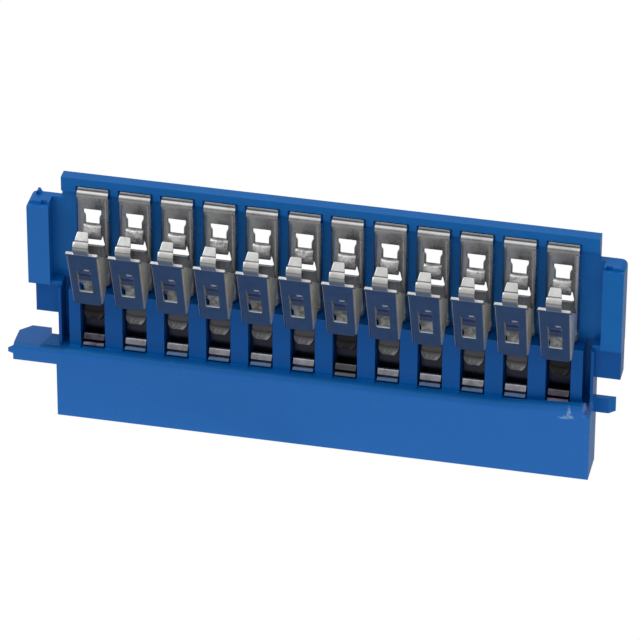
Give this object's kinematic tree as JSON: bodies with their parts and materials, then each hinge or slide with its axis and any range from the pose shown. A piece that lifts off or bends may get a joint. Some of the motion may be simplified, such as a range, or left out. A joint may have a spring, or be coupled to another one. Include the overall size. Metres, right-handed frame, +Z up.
{
  "type": "spring contact strip",
  "caption": "Blue moulded contact strip for a rail terminal block: a socket base and comb wall carry a row of stamped plates, sprung clamp jaws and tail terminals.",
  "frame": {"origin": "middle of the flat underside of the socket base", "axes": "+X along the row of contacts, to the right in the picture; +Y to the back of the strip; +Z up, from the base to the top band"},
  "size_m": [0.0736, 0.0079, 0.0316],
  "materials": {
    "blue_moulding": "glossy moulded blue",
    "tinned_sheet": "satin tin plate",
    "spring_steel": "bright plated spring sheet",
    "tail_metal": "satin tin plate"
  },
  "bodies": {
    "strip": {"contact_carrier": "blue_moulding", "contact_plate_01": "tinned_sheet", "contact_plate_02": "tinned_sheet", "contact_plate_03": "tinned_sheet", "contact_plate_04": "tinned_sheet", "contact_plate_05": "tinned_sheet", "contact_plate_06": "tinned_sheet", "contact_plate_07": "tinned_sheet", "contact_plate_08": "tinned_sheet", "contact_plate_09": "tinned_sheet", "contact_plate_10": "tinned_sheet", "contact_plate_11": "tinned_sheet", "contact_plate_12": "tinned_sheet", "tail_terminal_01": "tail_metal", "tail_terminal_02": "tail_metal", "tail_terminal_03": "tail_metal", "tail_terminal_04": "tail_metal", "tail_terminal_05": "tail_metal", "tail_terminal_06": "tail_metal", "tail_terminal_07": "tail_metal", "tail_terminal_08": "tail_metal", "tail_terminal_09": "tail_metal", "tail_terminal_10": "tail_metal", "tail_terminal_11": "tail_metal", "tail_terminal_12": "tail_metal"},
    "jaw_01": {"clamp_jaw_01": "spring_steel"},
    "jaw_02": {"clamp_jaw_02": "spring_steel"},
    "jaw_03": {"clamp_jaw_03": "spring_steel"},
    "jaw_04": {"clamp_jaw_04": "spring_steel"},
    "jaw_05": {"clamp_jaw_05": "spring_steel"},
    "jaw_06": {"clamp_jaw_06": "spring_steel"},
    "jaw_07": {"clamp_jaw_07": "spring_steel"},
    "jaw_08": {"clamp_jaw_08": "spring_steel"},
    "jaw_09": {"clamp_jaw_09": "spring_steel"},
    "jaw_10": {"clamp_jaw_10": "spring_steel"},
    "jaw_11": {"clamp_jaw_11": "spring_steel"},
    "jaw_12": {"clamp_jaw_12": "spring_steel"}
  },
  "joints": [
    {"name": "jaw_flex_01", "type": "hinge", "parent": "strip", "child": "jaw_01", "pos_m": [-0.02794, -0.00005, 0.0191], "axis": [1, 0, 0], "range_deg": [0, 8], "stiffness_Nm_per_rad": 0.05},
    {"name": "jaw_flex_02", "type": "hinge", "parent": "strip", "child": "jaw_02", "pos_m": [-0.02286, -0.00005, 0.0191], "axis": [1, 0, 0], "range_deg": [0, 8], "stiffness_Nm_per_rad": 0.05},
    {"name": "jaw_flex_03", "type": "hinge", "parent": "strip", "child": "jaw_03", "pos_m": [-0.01778, -0.00005, 0.0191], "axis": [1, 0, 0], "range_deg": [0, 8], "stiffness_Nm_per_rad": 0.05},
    {"name": "jaw_flex_04", "type": "hinge", "parent": "strip", "child": "jaw_04", "pos_m": [-0.0127, -0.00005, 0.0191], "axis": [1, 0, 0], "range_deg": [0, 8], "stiffness_Nm_per_rad": 0.05},
    {"name": "jaw_flex_05", "type": "hinge", "parent": "strip", "child": "jaw_05", "pos_m": [-0.00762, -0.00005, 0.0191], "axis": [1, 0, 0], "range_deg": [0, 8], "stiffness_Nm_per_rad": 0.05},
    {"name": "jaw_flex_06", "type": "hinge", "parent": "strip", "child": "jaw_06", "pos_m": [-0.00254, -0.00005, 0.0191], "axis": [1, 0, 0], "range_deg": [0, 8], "stiffness_Nm_per_rad": 0.05},
    {"name": "jaw_flex_07", "type": "hinge", "parent": "strip", "child": "jaw_07", "pos_m": [0.00254, -0.00005, 0.0191], "axis": [1, 0, 0], "range_deg": [0, 8], "stiffness_Nm_per_rad": 0.05},
    {"name": "jaw_flex_08", "type": "hinge", "parent": "strip", "child": "jaw_08", "pos_m": [0.00762, -0.00005, 0.0191], "axis": [1, 0, 0], "range_deg": [0, 8], "stiffness_Nm_per_rad": 0.05},
    {"name": "jaw_flex_09", "type": "hinge", "parent": "strip", "child": "jaw_09", "pos_m": [0.0127, -0.00005, 0.0191], "axis": [1, 0, 0], "range_deg": [0, 8], "stiffness_Nm_per_rad": 0.05},
    {"name": "jaw_flex_10", "type": "hinge", "parent": "strip", "child": "jaw_10", "pos_m": [0.01778, -0.00005, 0.0191], "axis": [1, 0, 0], "range_deg": [0, 8], "stiffness_Nm_per_rad": 0.05},
    {"name": "jaw_flex_11", "type": "hinge", "parent": "strip", "child": "jaw_11", "pos_m": [0.02286, -0.00005, 0.0191], "axis": [1, 0, 0], "range_deg": [0, 8], "stiffness_Nm_per_rad": 0.05},
    {"name": "jaw_flex_12", "type": "hinge", "parent": "strip", "child": "jaw_12", "pos_m": [0.02794, -0.00005, 0.0191], "axis": [1, 0, 0], "range_deg": [0, 8], "stiffness_Nm_per_rad": 0.05}
  ]
}
